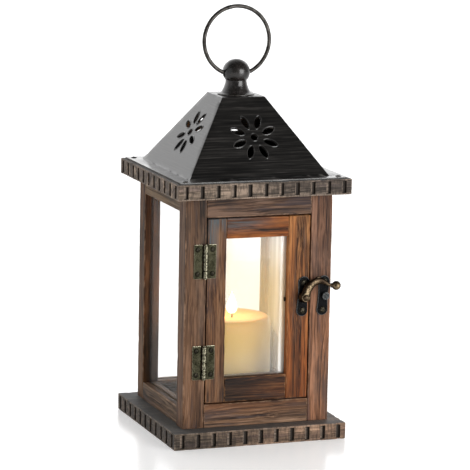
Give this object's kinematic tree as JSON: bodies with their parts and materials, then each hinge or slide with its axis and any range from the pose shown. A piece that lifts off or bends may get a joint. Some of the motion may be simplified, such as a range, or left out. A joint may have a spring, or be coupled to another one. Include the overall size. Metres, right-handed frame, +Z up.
{
  "type": "hanging lantern",
  "caption": "Square wooden candle lantern with glazed walls, a hinged and latched glass door, a pierced metal roof, a finial and a hanging ring.",
  "frame": {"origin": "centre of the underside of the base plate, on the surface that the lantern stands on", "axes": "+Z up to the ring, -Y out of the door's face, +X from the hinges to the latch"},
  "size_m": [0.16, 0.16, 0.3785],
  "materials": {
    "frame_wood": "weathered dark stain",
    "plate_wood": "weathered, rough sawn edges",
    "door_wood": "weathered dark stain, rubbed back",
    "roof_sheet": "brushed black",
    "cast_black": "satin black",
    "ring_steel": "dark oiled",
    "hinge_bronze": "antique bronze",
    "latch_black": "dark oxide",
    "hook_brass": "antique brass",
    "screw_steel": "dark antique",
    "glass": "clear",
    "candle_wax": "smooth wax",
    "wick": "charred cotton"
  },
  "bodies": {
    "frame": {"base_plate": "plate_wood", "top_plate": "plate_wood", "post_front_left": "frame_wood", "post_front_right": "frame_wood", "post_back_left": "frame_wood", "post_back_right": "frame_wood", "left_bottom_rail": "frame_wood", "left_top_rail": "frame_wood", "left_glass": "glass", "right_bottom_rail": "frame_wood", "right_top_rail": "frame_wood", "right_glass": "glass", "back_bottom_rail": "frame_wood", "back_top_rail": "frame_wood", "back_glass": "glass", "front_top_rail": "frame_wood", "front_bottom_rail": "frame_wood", "door_stop": "frame_wood", "roof_shell": "roof_sheet", "roof_screw_1": "cast_black", "roof_screw_2": "cast_black", "roof_screw_3": "cast_black", "roof_screw_4": "cast_black", "finial": "cast_black", "finial_nut": "screw_steel", "upper_hinge_frame_leaf": "hinge_bronze", "upper_hinge_pin": "hinge_bronze", "lower_hinge_frame_leaf": "hinge_bronze", "lower_hinge_pin": "hinge_bronze", "hinge_frame_screw_1": "screw_steel", "hinge_frame_screw_2": "screw_steel", "hinge_frame_screw_3": "screw_steel", "hinge_frame_screw_4": "screw_steel", "keeper_plate": "latch_black", "keeper_screw_1": "screw_steel", "keeper_screw_2": "screw_steel", "candle": "candle_wax", "candle_wick": "wick"},
    "door": {"door_hinge_stile": "door_wood", "door_latch_stile": "door_wood", "door_top_rail": "door_wood", "door_bottom_rail": "door_wood", "door_glass": "glass", "glazing_pin_1": "screw_steel", "glazing_pin_2": "screw_steel", "upper_hinge_door_leaf": "hinge_bronze", "lower_hinge_door_leaf": "hinge_bronze", "hinge_door_screw_1": "screw_steel", "hinge_door_screw_2": "screw_steel", "hinge_door_screw_3": "screw_steel", "hinge_door_screw_4": "screw_steel", "latch_plate": "latch_black", "latch_rivet": "hook_brass", "latch_screw_1": "screw_steel", "latch_screw_2": "screw_steel"},
    "hook": {"latch_hook": "hook_brass"},
    "ring": {"ring_handle": "ring_steel"}
  },
  "joints": [
    {"name": "door_hinge", "type": "hinge", "parent": "frame", "child": "door", "pos_m": [-0.05, -0.0683, 0.1185], "axis": [0, 0, -1], "range_deg": [0, 170]},
    {"name": "latch_pivot", "type": "hinge", "parent": "door", "child": "hook", "pos_m": [0.0415, -0.0678, 0.128], "axis": [0, -1, 0], "range_deg": [0, 100]},
    {"name": "ring_swing", "type": "hinge", "parent": "frame", "child": "ring", "pos_m": [0, 0, 0.3172], "axis": [1, 0, 0], "range_deg": [-130, 130]}
  ]
}
